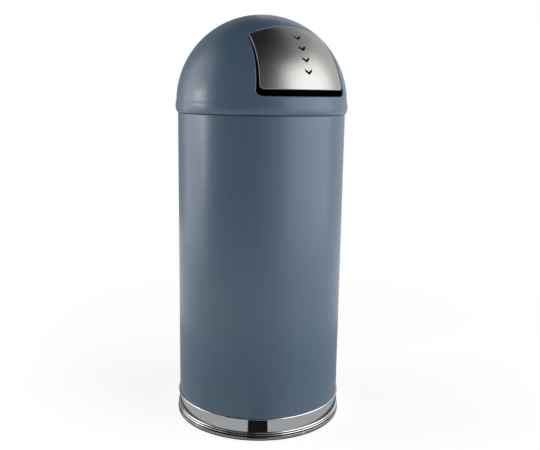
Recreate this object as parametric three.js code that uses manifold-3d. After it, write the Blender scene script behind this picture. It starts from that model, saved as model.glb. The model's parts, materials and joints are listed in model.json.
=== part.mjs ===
// A dome-top waste receptacle: a round steel can on a chromed base ring, a lift-off dome with a sprung push
// flap, and a galvanised liner with two drop handles. Millimetres, +Z up, the floor at Z = 0, and the flap
// facing -Y.
import * as THREE from "three";
import { mergeVertices } from "three/addons/utils/BufferGeometryUtils.js";
import Module from "manifold-3d";

const wasm = await Module();
wasm.setup();

// ---- Driving dimensions ----

const gap = 0.3; // between faces that rest on, or are welded to, each other
const aroundSteps = 40; // facets round the can, the dome and the liner
const degree = Math.PI / 180;

// Can: a rolled sheet with its mouth curled inwards.
const canRadius = 190;
const canWall = 1;
const canHeight = 709.7;
const mouthCurl = 2.8; // outer radius of the curl
const mouthCurlTail = 3.4; // straight end of the sheet below the curl
const seamWidth = 14; // lap seam inside the back of the can
const seamThickness = 1.6;
const seamEndClearance = 7; // between the lap's ends and the curl or the pan

// Base ring: pressed and chromed, with a flange that stands on the floor ring and three beads.
const baseWall = 1.2;
const baseHeight = 50;
const flangeReach = 3.5; // how far the flange stands out past the ring's face
const flangeHeight = 8;
const lowBeads = [
  { height: 11.7, reach: 2.7 },
  { height: 16.5, reach: 2.4 },
];
const lowBeadHalf = 1.9; // half of a low bead's height
const topBeadHalf = 1.7;
const topBeadReach = 1.9;
const beadCrown = 0.35; // share of a bead's height that is its flat crown

// Floor ring: soft vinyl, plugged into the base ring's flange.
const padThickness = 2.2;
const padLip = 2.9; // how far it runs in past its plug
const plugHeight = 8.3;
const plugLedge = 1.6; // how far the plug runs in past the can's wall, which stands on it

// Base rivets: one at the front, the back and each side.
const rivetCount = 4;
const rivetHeight = 5.3;
const rivetHeadRadius = 2.2;
const rivetHeadRise = 1.3;
const rivetShankRadius = 1.3;
const rivetSides = 10;

// Bottom pan: a dished disc with its edge turned down.
const panWall = 1;
const panTop = 16;
const panDish = 3;
const panDishMargin = 14; // from the liner's foot in to the dish
const panDishSlope = 4;

// Dome: a spun hemisphere with a full skirt that rolls under to a flat lip.
const domeOverhang = 3.5; // how far the sphere stands out past the can
const domeWall = 1;
const domeRise = 22.5; // the sphere's centre above the lip
const skirtReach = 2; // how far the skirt stands out past the sphere
const skirtHeight = 17; // from the lip up to the skirt's widest line
const lipWidth = 6; // flat lip that rests on the can's mouth
const domeArcSteps = 10;
const skirtSteps = 4;

// Dome collar: drops into the mouth and keeps the dome central.
const collarWall = 1;
const collarDepth = 20;
const collarLead = 3; // height of the tapered lead-in at its lower edge
const collarTaper = 1; // how far the lead-in draws in
const collarFlange = 5;
const collarClearance = 1;

// Flap: its outline lies on the dome. Angles are about the dome's own X axis, from the horizontal.
const flapTopAngle = 56.4;
const flapBottomRise = 30.5; // its lower edge above the sphere's centre
const flapHalfTop = 92;
const flapHalfBottom = 104.5;
const flapTopCorner = 4.5;
const flapBottomCorner = 9;
const flapWall = 1;
const flapHem = 4; // how deep its edges are turned in

const cutInner = 0.3; // a door's outline is cut from here to here, as shares of the dome's radius
const cutOuter = 1.25;

// Opening: the same outline, wider by these gaps.
const openingTopGap = 1.6;
const openingBottomGap = 13.5;
const openingSideGapTop = 1.5;
const openingSideGapBottom = 7.5;
const openingFlange = 6; // how deep the opening's edge is turned in
const cornerSteps = 3;
const sillSteps = 6;

// Hinge: one rod behind the flap's top edge, in two brackets welded inside the dome.
const hingeDepth = 29.5; // rod centre below the dome's outside, measured at the middle
const hingeDrop = 2.6; // degrees between the flap's top edge and the rod
const rodRadius = 2.5;
const rodHalfLength = 88.5;
const turningClearance = 0.3;
const bracketX = 84;
const bracketThickness = 2;
const bracketBoss = 6;
const bracketNeckLeft = -13;
const bracketNeckRight = 1.5;
const bracketStep = 11.5; // where it clears the opening's flange and widens to the dome
const bracketTop = 42;
const bracketFoot = 13; // width of the foot on the dome
const clipRadius = 5;
const clipThickness = 1;

// Stop: a peg on each bracket runs in an arc slot of the flap's ear, which ends the swing both ways.
const swing = 60;
const pegRadius = 1.6;
const pegPlace = { out: -12, up: -8 }; // from the rod, outwards and upwards along the dome
const pegBoss = 5;
const pegSides = 12;
const pegEndClearance = 2.2;
const sleeveRadius = 3.2;
const sleeveLength = 6;

// Ears: plates welded behind the flap.
const earX = 66;
const earThickness = 2;
const earBoss = 8;
const earRim = 3; // metal outside the slot
const earArmTop = 4.5;
const earArmBottom = -34;
const earFoot = 13;

// Bushes: flanged nylon sleeves in the ears.
const bushRadius = 4;
const bushFlangeRadius = 5.6;
const bushFlange = 1;

// Torsion springs: round the rod, between ear and bracket.
const wireRadius = 0.8;
const coilRadius = 5.2;
const coilTurns = 4.5;
const coilEndClearance = 1.9; // from the coil's end turns, at the wire's centre, to the bracket and the bush
const springLegUp = -35; // where the long leg ends behind the flap
const springTail = 13; // length of the short leg, past the peg
const stepsPerTurn = 8;
const wireSides = 5;

// Liner: a tapered galvanised bucket with a recessed bottom.
const linerWall = 0.8;
const linerClearance = 4; // from its rolled rim to the dome's collar
const linerTaper = 14; // how much narrower its foot is than its top
const linerDrop = 33.4; // from the can's mouth down to the rim
const linerCurl = 2.6;
const linerBeadDrop = 115; // from the rim down to the stiffening bead
const linerBeadHalf = 5;
const linerBeadReach = 2;
const linerRecess = 6; // the bottom above the liner's foot
const linerBottomFlange = 4.5;

// Handles: wire drop handles that hang inside the liner, in two welded ears each.
const handleWire = 2.5;
const handlePivotDrop = 26; // pivot below the liner's rim
const handlePivotInset = 12.5; // pivot inside the liner's wall, at the middle
const handleHalfWidth = 37;
const handleDrop = 42;
const handleBend = 9;
const handleEarY = 47;
const handleEndPast = 3; // how far the wire passes its ears
const handleEarThickness = 2;
const handleEarBoss = 5.5;
const handleEarFoot = 14;
const handleSides = 6;
const handleSteps = 32;

// ---- Sizes that follow ----

const canInside = canRadius - canWall;
const seamHeight = canHeight + gap; // underside of the dome's lip
const mouthInside = canRadius - 2 * mouthCurl;
const domeRadius = canRadius + domeOverhang;
const domeCentre = seamHeight + domeRise;
const domeInside = domeRadius - domeWall;
const lipOuterRadius = canRadius + gap;
const lipInnerRadius = lipOuterRadius - lipWidth;
const collarOuter = mouthInside - collarClearance;
const collarInner = collarOuter - collarWall;
const ringInside = canRadius + gap;
const ringFace = ringInside + baseWall;
const flangeRadius = ringFace + flangeReach;
const flangeInside = flangeRadius - baseWall;
const plugInnerRadius = canInside - plugLedge;
const padInnerRadius = plugInnerRadius - padLip;
const canBottom = plugHeight + gap;
const linerFoot = panTop + gap;
const linerTop = canHeight - linerDrop;
const linerWallTop = linerTop - linerCurl;
const linerTopRadius = collarInner - linerClearance - 2 * linerCurl + linerWall;
const linerBottomRadius = linerTopRadius - linerTaper;
const panDishRadius = linerBottomRadius - panDishMargin;
const flapInside = domeRadius - flapWall;
const flapFacet = flapInside * Math.cos(Math.PI / aroundSteps) ** 2; // how far out a facet's middle lies

// The hinge's own directions: out through the flap and up along the dome.
const hingeAngle = (flapTopAngle - hingeDrop) * degree;
const hingeReach = domeRadius - hingeDepth;
const outward = new THREE.Vector3(0, -Math.cos(hingeAngle), Math.sin(hingeAngle));
const upward = new THREE.Vector3(0, Math.sin(hingeAngle), Math.cos(hingeAngle));
const hinge = new THREE.Vector3(0, 0, domeCentre).addScaledVector(outward, hingeReach);
const bracketInner = bracketX - bracketThickness / 2;
const bracketOuter = bracketX + bracketThickness / 2;
const earOuter = earX + earThickness / 2;
const bushHole = rodRadius + turningClearance;
const bushEnd = earOuter + gap + bushFlange;
const pegAngle = Math.atan2(pegPlace.up, pegPlace.out) + 2 * Math.PI;
const pegOrbit = Math.hypot(pegPlace.out, pegPlace.up);
const slotHalf = sleeveRadius + gap;
const pegEnd = earX - earThickness / 2 - pegEndClearance;
const coilStart = bracketInner - coilEndClearance;
const coilEnd = bushEnd + coilEndClearance;

// ---- Solids ----

/** A closed geometry as a solid that faces outwards. */
function solid(geometry) {
  const bare = new THREE.BufferGeometry();
  const flat = geometry.index ? geometry.toNonIndexed() : geometry;
  bare.setAttribute("position", flat.getAttribute("position"));
  const merged = mergeVertices(bare, 1e-3);
  const corners = [];
  const index = merged.index.array;
  for (let i = 0; i < index.length; i += 3) {
    const [a, b, c] = [index[i], index[i + 1], index[i + 2]];
    if (a !== b && b !== c && c !== a) corners.push([a, b, c]);
  }
  const build = (triangles) =>
    new wasm.Manifold(
      new wasm.Mesh({
        numProp: 3,
        vertProperties: merged.attributes.position.array,
        triVerts: new Uint32Array(triangles.flat()),
      }),
    );
  const made = build(corners);
  return made.volume() > 0 ? made : build(corners.map(([a, b, c]) => [c, b, a]));
}

/** A profile of [radius, height] pairs turned round the Z axis. */
function revolve(profile, steps = aroundSteps) {
  const closed = profile[0][0] === 0 ? profile : [...profile, profile[0]];
  const points = closed.map(([radius, height]) => new THREE.Vector2(radius, height));
  return solid(new THREE.LatheGeometry(points, steps).rotateX(Math.PI / 2));
}

/** Points on a circle, from one angle to another in degrees, as [x, y] pairs. */
function arc(centreX, centreY, radius, from, to, steps) {
  return Array.from({ length: steps + 1 }, (_, i) => {
    const angle = (from + ((to - from) * i) / steps) * degree;
    return [centreX + radius * Math.cos(angle), centreY + radius * Math.sin(angle)];
  });
}

function box(lowX, highX, lowY, highY, lowZ, highZ) {
  const made = new THREE.BoxGeometry(highX - lowX, highY - lowY, highZ - lowZ);
  return solid(made.translate((lowX + highX) / 2, (lowY + highY) / 2, (lowZ + highZ) / 2));
}

/** A round bar along X, centred on the hinge or on a place given from it. */
function bar(radius, fromX, toX, place = { out: 0, up: 0 }, sides = 16) {
  const made = new THREE.CylinderGeometry(radius, radius, Math.abs(toX - fromX), sides).rotateZ(Math.PI / 2);
  const centre = fromHinge((fromX + toX) / 2, place.out, place.up);
  return solid(made.translate(centre.x, centre.y, centre.z));
}

/** A place given across, outwards and upwards from the middle of the hinge. */
function fromHinge(x, out, up) {
  return hinge.clone().addScaledVector(outward, out).addScaledVector(upward, up).setX(x);
}

/** A flat plate square to the hinge, from a shape drawn outwards (x) and upwards (y) of the rod. */
function hingePlate(shape, middleX, thickness) {
  const made = new THREE.ExtrudeGeometry(shape, { depth: thickness, bevelEnabled: false, curveSegments: 8 });
  const turn = new THREE.Matrix4().makeBasis(outward, upward, new THREE.Vector3(-1, 0, 0));
  const place = fromHinge(middleX + thickness / 2, 0, 0);
  return solid(made.applyMatrix4(turn).translate(place.x, place.y, place.z));
}

const shapeOf = (points) => new THREE.Shape(points.map(([x, y]) => new THREE.Vector2(x, y)));

/** A round wire of the given radius along a curve. */
function wire(curve, radius, sides, steps) {
  const section = shapeOf(arc(0, 0, radius, 0, 360, sides).slice(0, -1));
  return solid(new THREE.ExtrudeGeometry(section, { steps, extrudePath: curve, bevelEnabled: false }));
}

// ---- The dome's own surfaces ----

/** The upper half of a ball about the dome's centre, with the dome's own facets. */
function ball(radius) {
  const side = arc(0, domeCentre, radius, 0, 90, domeArcSteps).slice(0, -1);
  return revolve([[0, domeCentre], ...side, [0, domeCentre + radius]]);
}

const layer = (inner, outer) => ball(outer).subtract(ball(inner));

/** The outline of the flap, or of the opening that is wider by the gaps, as [x, angle] pairs on the dome. */
function doorOutline({ top, bottom, sideTop, sideBottom, corner }) {
  const topAngle = flapTopAngle * degree + top / domeRadius;
  const rise = flapBottomRise - bottom;
  const length = domeRadius * (topAngle - Math.asin(rise / domeRadius));
  const [halfTop, halfBottom] = [flapHalfTop + sideTop, flapHalfBottom + sideBottom];
  const [cornerTop, cornerBottom] = [flapTopCorner + corner, flapBottomCorner + corner];
  const sill = Array.from({ length: sillSteps + 1 }, (_, i) => [
    (halfBottom - cornerBottom) * ((2 * i) / sillSteps - 1),
    0,
  ]);
  const half = (height) => halfBottom + ((halfTop - halfBottom) * height) / length;
  const rightBottom = arc(half(cornerBottom) - cornerBottom, cornerBottom, cornerBottom, -90, 0, cornerSteps);
  const topCentre = length - cornerTop;
  const rightTop = arc(half(topCentre) - cornerTop, topCentre, cornerTop, 0, 90, cornerSteps);
  const right = [...rightBottom.slice(1), ...rightTop];
  const left = right.map(([x, height]) => [-x, height]).reverse();
  return [...sill, ...right, ...left].map(([x, height]) => {
    const low = Math.asin(rise / Math.sqrt(domeRadius ** 2 - x ** 2));
    return [x, low + ((topAngle - low) * height) / length];
  });
}

/** A wedge round the dome's X axis that cuts a door's outline out of a layer of the dome. */
function wedge(outline) {
  const ring = (reach) =>
    outline.flatMap(([x, angle]) => [x, -reach * Math.cos(angle), domeCentre + reach * Math.sin(angle)]);
  const count = outline.length;
  const flat = outline.map(([x, angle]) => new THREE.Vector2(x, angle * domeRadius));
  const index = THREE.ShapeUtils.triangulateShape(flat, []).flatMap(([a, b, c]) => [
    ...[c, b, a],
    ...[count + a, count + b, count + c],
  ]);
  for (let i = 0; i < count; i += 1) {
    const next = (i + 1) % count;
    index.push(i, next, count + next, i, count + next, count + i);
  }
  const corners = [...ring(domeRadius * cutInner), ...ring(domeRadius * cutOuter)];
  const made = new THREE.BufferGeometry().setIndex(index);
  made.setAttribute("position", new THREE.Float32BufferAttribute(corners, 3));
  return solid(made);
}

const flapOutline = (grow) =>
  doorOutline({ top: grow, bottom: grow, sideTop: grow, sideBottom: grow, corner: grow });

const openingOutline = (grow) =>
  doorOutline({
    top: openingTopGap + grow,
    bottom: openingBottomGap + grow,
    sideTop: openingSideGapTop + grow,
    sideBottom: openingSideGapBottom + grow,
    corner: openingSideGapBottom / 2 + grow,
  });

// ---- Can ----

function canShell() {
  const curlHeight = canHeight - mouthCurl;
  const curlMiddle = canRadius - mouthCurl;
  const innerCurl = mouthCurl - canWall;
  const wall = revolve([
    [canInside, canBottom],
    [canRadius, canBottom],
    ...arc(curlMiddle, curlHeight, mouthCurl, 0, 180, 5),
    [mouthInside, curlHeight - mouthCurlTail],
    [mouthInside + canWall, curlHeight - mouthCurlTail],
    ...arc(curlMiddle, curlHeight, innerCurl, 180, 0, 4),
  ]);
  const lapInside = canInside * Math.cos(Math.PI / aroundSteps) - seamThickness;
  const lapTop = curlHeight - mouthCurlTail - seamEndClearance;
  const lapMiddle = canRadius - canWall / 2;
  const lapBottom = panTop + seamEndClearance;
  return wall.add(box(-seamWidth / 2, seamWidth / 2, lapInside, lapMiddle, lapBottom, lapTop));
}

function bottomPan() {
  const edge = canInside - gap;
  const dished = panTop - panDish;
  return revolve([
    [0, dished],
    [panDishRadius, dished],
    [panDishRadius + panDishSlope, panTop],
    [edge, panTop],
    [edge, canBottom],
    [edge - panWall, canBottom],
    [edge - panWall, panTop - panWall],
    [panDishRadius + panDishSlope, panTop - panWall],
    [panDishRadius, dished - panWall],
    [0, dished - panWall],
  ]);
}

/** Holes for the base rivets, through whatever stands at the foot of the can. */
function rivetHoles() {
  const radius = rivetShankRadius + gap;
  const through = 4 * (flangeRadius - plugInnerRadius);
  const hole = new THREE.CylinderGeometry(radius, radius, through, rivetSides);
  return aroundTheBase((i) => {
    const turned = hole.clone().rotateZ(Math.PI / 2).translate(flangeRadius, 0, rivetHeight);
    return solid(turned.rotateZ((i * 2 * Math.PI) / rivetCount));
  });
}

const aroundTheBase = (make) => Array.from({ length: rivetCount }, (_, i) => make(i));

function baseRing() {
  const bead = ({ height, reach }) => [
    [ringFace, height - lowBeadHalf],
    [ringFace + reach, height - lowBeadHalf * beadCrown],
    [ringFace + reach, height + lowBeadHalf * beadCrown],
  ];
  const topBead = baseHeight - topBeadHalf;
  const ring = revolve([
    [flangeInside, padThickness + gap],
    [flangeRadius, padThickness + gap],
    [flangeRadius, flangeHeight],
    ...lowBeads.flatMap(bead),
    [ringFace, lowBeads.at(-1).height + lowBeadHalf],
    [ringFace, topBead - topBeadHalf],
    [ringFace + topBeadReach, topBead - topBeadHalf * beadCrown],
    [ringFace + topBeadReach, topBead + topBeadHalf * beadCrown],
    [ringFace, baseHeight],
    [ringInside, baseHeight],
    [ringInside, canBottom + baseWall],
    [flangeInside, canBottom],
  ]);
  return rivetHoles().reduce((left, hole) => left.subtract(hole), ring);
}

function floorRing() {
  const plugOuter = flangeInside - gap;
  const ring = revolve([
    [padInnerRadius, 0],
    [flangeRadius - gap, 0],
    [flangeRadius - gap, padThickness],
    [plugOuter, padThickness],
    [plugOuter, plugHeight],
    [plugInnerRadius, plugHeight],
    [plugInnerRadius, padThickness],
    [padInnerRadius, padThickness],
  ]);
  return rivetHoles().reduce((left, hole) => left.subtract(hole), ring);
}

function baseRivet(index) {
  const seat = flangeRadius + gap;
  const profile = [
    [0, plugInnerRadius],
    [rivetShankRadius, plugInnerRadius],
    [rivetShankRadius, seat],
    [rivetHeadRadius, seat],
    [rivetHeadRadius * Math.cos(30 * degree), seat + rivetHeadRise * Math.sin(30 * degree)],
    [rivetHeadRadius * Math.cos(60 * degree), seat + rivetHeadRise * Math.sin(60 * degree)],
    [0, seat + rivetHeadRise],
  ];
  const points = profile.map(([radius, height]) => new THREE.Vector2(radius, height));
  const made = new THREE.LatheGeometry(points, rivetSides).rotateZ(-Math.PI / 2).translate(0, 0, rivetHeight);
  return solid(made.rotateZ((index * 2 * Math.PI) / rivetCount));
}

// ---- Dome ----

function domeShell() {
  const widest = seamHeight + skirtHeight;
  const skirtDepth = domeRadius + skirtReach - lipOuterRadius;
  const skirt = (wall) =>
    Array.from({ length: skirtSteps + 1 }, (_, i) => {
      const angle = (90 * i * degree) / skirtSteps;
      return [
        lipOuterRadius - wall + skirtDepth * Math.cos(angle),
        widest - (skirtHeight - wall) * Math.sin(angle),
      ];
    });
  const sphere = (radius) => arc(0, domeCentre, radius, 90, 0, domeArcSteps).slice(1);
  const shell = revolve([
    [0, domeCentre + domeRadius],
    ...sphere(domeRadius),
    ...skirt(0),
    [lipInnerRadius, seamHeight],
    [lipInnerRadius, seamHeight + domeWall],
    ...skirt(domeWall).reverse(),
    ...sphere(domeInside).reverse(),
    [0, domeCentre + domeInside],
  ]);
  const flange = layer(domeRadius - openingFlange, domeRadius - domeWall / 2)
    .intersect(wedge(openingOutline(domeWall)));
  return shell.add(flange).subtract(wedge(openingOutline(0)));
}

function domeCollar() {
  const seat = seamHeight + domeWall + gap;
  const low = seamHeight - collarDepth;
  return revolve([
    [collarInner - collarTaper, low],
    [collarOuter - collarTaper, low],
    [collarOuter, low + collarLead],
    [collarOuter, seat],
    [collarOuter + collarFlange, seat],
    [collarOuter + collarFlange, seat + collarWall],
    [collarInner, seat + collarWall],
    [collarInner, low + collarLead],
  ]);
}

/** A hinge bracket: a plate with the rod's boss and the stop peg, hung from a foot welded inside the dome. */
function hingeBracket(side) {
  const outline = [
    ...arc(0, 0, bracketBoss, -60, 75, 6),
    [bracketNeckRight, bracketStep],
    [hingeDepth, bracketStep],
    [hingeDepth, bracketTop],
    [bracketNeckRight, bracketTop],
    [bracketNeckLeft, bracketStep],
    ...arc(pegPlace.out, pegPlace.up, pegBoss, 150, 300, 6),
  ];
  const shape = shapeOf(outline);
  shape.holes.push(new THREE.Path().absarc(0, 0, bushHole, 0, 2 * Math.PI));
  const footMiddle = side * (bracketX + bracketFoot / 2 - bracketThickness / 2);
  const footShape = shapeOf([
    [-hingeDepth, bracketStep],
    [hingeDepth, bracketStep],
    [hingeDepth, bracketTop],
    [-hingeDepth, bracketTop],
  ]);
  const seat = domeInside - gap;
  const foot = hingePlate(footShape, footMiddle, bracketFoot).intersect(layer(seat - bracketThickness, seat));
  const plate = hingePlate(shape, side * bracketX, bracketThickness).intersect(ball(seat));
  return plate.add(foot).add(bar(pegRadius, side * pegEnd, side * bracketX, pegPlace, pegSides));
}

function rodClip(side) {
  const middle = bracketOuter + gap + clipThickness / 2;
  const shape = new THREE.Shape().absarc(0, 0, clipRadius, 0, 2 * Math.PI);
  shape.holes.push(new THREE.Path().absarc(0, 0, bushHole, 0, 2 * Math.PI));
  return hingePlate(shape, side * middle, clipThickness);
}

function stopSleeve(side) {
  const from = pegEnd + gap;
  const to = from + sleeveLength;
  const bore = bar(pegRadius + gap, side * (from - 1), side * (to + 1), pegPlace, pegSides);
  return bar(sleeveRadius, side * from, side * to, pegPlace).subtract(bore);
}

/** The middle line of a torsion spring: short leg behind the peg, coil, long leg behind the flap. */
function springLine(side) {
  const pass = pegPlace.out + pegRadius + gap + wireRadius;
  const slope = new THREE.Vector2(pass + coilRadius + gap, pegPlace.up).normalize();
  const point = (x, out, up) => fromHinge(side * x, out, up);
  const tail = [3, 2, 1].map((step) => {
    const along = (springTail * step) / 3;
    return point(coilStart, -coilRadius + slope.x * along, slope.y * along);
  });
  const count = coilTurns * stepsPerTurn;
  const coil = Array.from({ length: count + 1 }, (_, i) => {
    const angle = Math.PI - (2 * Math.PI * i) / stepsPerTurn;
    const x = coilStart + ((coilEnd - coilStart) * i) / count;
    return point(x, coilRadius * Math.cos(angle), coilRadius * Math.sin(angle));
  });
  const reach = Math.sqrt((flapFacet - gap - wireRadius) ** 2 - coilEnd ** 2);
  const tipOut = Math.sqrt(reach ** 2 - springLegUp ** 2) - hingeReach;
  const leg = [1, 2, 3, 4].map((step) =>
    point(coilEnd, coilRadius + ((tipOut - coilRadius) * step) / 4, (springLegUp * step) / 4),
  );
  return new THREE.CatmullRomCurve3([...tail, ...coil, ...leg]);
}

function torsionSpring(side) {
  const line = springLine(side);
  const step = (2 * Math.PI * coilRadius) / stepsPerTurn;
  const steps = Math.round(line.getLength() / step);
  return wire(line, wireRadius, wireSides, steps);
}

/** The least gap between a spring's wire and itself, on points more than half a turn apart. */
function leastGap(line) {
  const points = line.getSpacedPoints(600);
  const apart = Math.ceil((Math.PI * coilRadius) / (line.getLength() / 600));
  let least = Infinity;
  points.forEach((a, i) =>
    points.slice(i + apart).forEach((b) => {
      least = Math.min(least, a.distanceTo(b) - 2 * wireRadius);
    }),
  );
  return least;
}

// ---- Flap ----

function flapPanel() {
  const whole = wedge(flapOutline(0));
  const sheet = layer(flapInside, domeRadius).intersect(whole);
  const hem = layer(domeRadius - flapHem, domeRadius - flapWall / 2).intersect(whole);
  return sheet.add(hem.subtract(wedge(flapOutline(-flapWall))));
}

/** An ear: a plate that carries the bush, with the arc slot for the stop peg. */
function flapEar(side) {
  const lobe = pegOrbit + slotHalf + earRim;
  const slotStart = pegAngle / degree;
  const lobeSpread = Math.asin((slotHalf + earRim) / pegOrbit) / degree;
  const shape = shapeOf([
    ...arc(0, 0, earBoss, 30, 180, 8),
    ...arc(0, 0, lobe, slotStart - lobeSpread, slotStart + swing + lobeSpread, 10),
    [hingeDepth, earArmBottom],
    [hingeDepth, earArmTop],
  ]);
  const place = (angle, radius) => [radius * Math.cos(angle * degree), radius * Math.sin(angle * degree)];
  const slotEnd = slotStart + swing;
  shape.holes.push(new THREE.Path().absarc(0, 0, bushRadius + gap, 0, 2 * Math.PI));
  shape.holes.push(
    shapeOf([
      ...arc(0, 0, pegOrbit + slotHalf, slotStart, slotEnd, 8),
      ...arc(...place(slotEnd, pegOrbit), slotHalf, slotEnd, slotEnd + 180, 6).slice(1, -1),
      ...arc(0, 0, pegOrbit - slotHalf, slotEnd, slotStart, 8),
      ...arc(...place(slotStart, pegOrbit), slotHalf, slotStart - 180, slotStart, 6).slice(1, -1),
    ]),
  );
  const seat = flapInside - gap;
  const footShape = shapeOf([
    [-hingeDepth, earArmBottom],
    [hingeDepth, earArmBottom],
    [hingeDepth, earArmTop],
    [-hingeDepth, earArmTop],
  ]);
  const footMiddle = side * (earOuter - earFoot / 2);
  const foot = hingePlate(footShape, footMiddle, earFoot).intersect(layer(seat - earThickness / 2, seat));
  return hingePlate(shape, side * earX, earThickness).intersect(ball(seat)).add(foot);
}

function flapBush(side) {
  const start = earX - earThickness / 2 - gap;
  const flangeStart = earOuter + gap;
  return bar(bushRadius, side * start, side * bushEnd)
    .add(bar(bushFlangeRadius, side * flangeStart, side * bushEnd))
    .subtract(bar(bushHole, side * (start - 1), side * (bushEnd + 1)));
}

// ---- Liner ----

/** The liner's outer radius at a height above its foot. */
const linerRadius = (above) => linerBottomRadius + (linerTaper * above) / (linerWallTop - linerFoot);

function linerWallShell() {
  const beadHeight = linerTop - linerBeadDrop;
  const bead = [
    [beadHeight - linerBeadHalf, 0],
    [beadHeight, linerBeadReach],
    [beadHeight + linerBeadHalf, 0],
  ].map(([height, reach]) => [linerRadius(height - linerFoot) + reach, height]);
  const curlMiddle = linerTopRadius - linerWall + linerCurl;
  const curl = (radius, from, to, steps) => arc(curlMiddle, linerWallTop, radius, from, to, steps);
  const inset = ([radius, height]) => [radius - linerWall, height];
  return revolve([
    [linerBottomRadius - linerWall, linerFoot],
    [linerBottomRadius, linerFoot],
    ...bead,
    ...curl(linerCurl - linerWall, 180, -60, 4),
    ...curl(linerCurl, -60, 180, 5),
    ...bead.map(inset).reverse(),
  ]);
}

function linerBottom() {
  const top = linerFoot + linerRecess;
  const edge = (above) => linerRadius(above) - linerWall - gap;
  return revolve([
    [0, top],
    [edge(linerRecess), top],
    [edge(linerRecess - linerBottomFlange), top - linerBottomFlange],
    [edge(linerRecess - linerBottomFlange) - linerWall, top - linerBottomFlange],
    [edge(linerRecess) - linerWall, top - linerWall],
    [0, top - linerWall],
  ]);
}

const pivotHeight = linerTop - handlePivotDrop;
const pivotX = linerRadius(pivotHeight - linerFoot) - linerWall - handlePivotInset;

/** A drop handle: a wire bow whose ends turn out through its two ears. */
function dropHandle(side) {
  const at = (y, drop) => new THREE.Vector3(side * pivotX, y, pivotHeight - drop);
  const end = handleEarY + handleEarThickness / 2 + handleEndPast;
  const elbow = handleEarY - handleEarThickness - handleHalfWidth;
  const half = (sign) => [
    at(sign * end, 0),
    ...arc(handleHalfWidth + elbow, elbow, elbow, 270, 180, 3).map(([y, drop]) => at(sign * y, drop)),
    at(sign * handleHalfWidth, handleDrop / 2),
    ...arc(handleHalfWidth - handleBend, handleDrop - handleBend, handleBend, 0, 90, 3).map(([y, drop]) =>
      at(sign * y, drop),
    ),
  ];
  const curve = new THREE.CatmullRomCurve3([...half(-1), at(0, handleDrop), ...half(1).reverse()]);
  return wire(curve, handleWire, handleSides, handleSteps);
}

/** An ear of a handle: a plate round the wire with a foot welded to the liner's wall. */
function handleEar(side, end) {
  const hole = handleWire + gap;
  const shape = shapeOf([
    ...arc(0, 0, handleEarBoss, 90, 270, 8),
    [handlePivotInset * 2, -handleEarBoss],
    [handlePivotInset * 2, handleEarBoss],
  ]);
  shape.holes.push(new THREE.Path().absarc(0, 0, hole, 0, 2 * Math.PI));
  const drawing = { depth: handleEarThickness, bevelEnabled: false, curveSegments: 6 };
  const turned = new THREE.ExtrudeGeometry(shape, drawing).rotateX(Math.PI / 2).scale(side, 1, 1);
  const front = end * handleEarY + handleEarThickness / 2;
  const plate = solid(turned.translate(side * pivotX, front, pivotHeight));
  const footEdges = [end * (handleEarY - handleEarThickness / 2), end * (handleEarY + handleEarFoot)];
  const footX = [side * pivotX, side * (linerTopRadius + handlePivotInset)];
  const foot = box(
    Math.min(...footX),
    Math.max(...footX),
    Math.min(...footEdges),
    Math.max(...footEdges),
    pivotHeight - handleEarBoss,
    pivotHeight + handleEarBoss,
  );
  const cone = (inset) =>
    revolve([
      [0, linerFoot],
      [linerBottomRadius - linerWall - inset, linerFoot],
      [linerTopRadius - linerWall - inset, linerWallTop],
      [0, linerWallTop],
    ]);
  const seat = cone(gap);
  return plate.intersect(seat).add(foot.intersect(seat.subtract(cone(gap + handleEarThickness / 2))));
}

// ---- Assembly ----

const finish = (color, roughness, metalness) => ({ color, roughness, metalness });
const finishes = {
  slatePaint: finish(0x5f7184, 0.42, 0.1),
  chrome: finish(0xd9dbdd, 0.08, 1),
  satinSteel: finish(0xb5b5ae, 0.3, 1),
  zinc: finish(0xa9adb0, 0.4, 1),
  galvanised: finish(0x9ba1a4, 0.5, 0.9),
  springSteel: finish(0x6d7073, 0.35, 1),
  blackVinyl: finish(0x17181a, 0.7, 0),
  nylon: finish(0xe4e0d4, 0.5, 0),
};

const part = new THREE.Group();

/** A named mesh of one solid, in a group of its own material. */
function place(group, name, made, look) {
  const { vertProperties, triVerts, numProp } = made.getMesh();
  const geometry = new THREE.BufferGeometry();
  const positions = new Float32Array((vertProperties.length / numProp) * 3);
  for (let i = 0; i < positions.length / 3; i += 1) {
    positions.set(vertProperties.subarray(i * numProp, i * numProp + 3), i * 3);
  }
  geometry.setAttribute("position", new THREE.BufferAttribute(positions, 3));
  geometry.setIndex(new THREE.BufferAttribute(new Uint32Array(triVerts), 1));
  geometry.computeVertexNormals();
  const mesh = new THREE.Mesh(geometry, new THREE.MeshStandardMaterial(look));
  mesh.name = name;
  group.add(mesh);
}

const groupIn = (parent) => {
  const made = new THREE.Group();
  parent.add(made);
  return made;
};

const sides = [
  ["left", -1],
  ["right", 1],
];

const can = groupIn(part);
place(can, "can_shell", canShell(), finishes.slatePaint);
place(can, "bottom_pan", bottomPan(), finishes.slatePaint);
place(can, "base_ring", baseRing(), finishes.chrome);
place(can, "floor_ring", floorRing(), finishes.blackVinyl);
aroundTheBase((i) => place(can, `base_rivet_${i + 1}`, baseRivet(i), finishes.chrome));

const dome = groupIn(part);
place(dome, "dome_shell", domeShell(), finishes.slatePaint);
place(dome, "dome_collar", domeCollar(), finishes.slatePaint);
place(dome, "hinge_rod", bar(rodRadius, -rodHalfLength, rodHalfLength), finishes.zinc);
for (const [name, side] of sides) {
  place(dome, `hinge_bracket_${name}`, hingeBracket(side), finishes.zinc);
  place(dome, `rod_clip_${name}`, rodClip(side), finishes.springSteel);
  place(dome, `stop_sleeve_${name}`, stopSleeve(side), finishes.blackVinyl);
  place(dome, `torsion_spring_${name}`, torsionSpring(side), finishes.springSteel);
}

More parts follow.
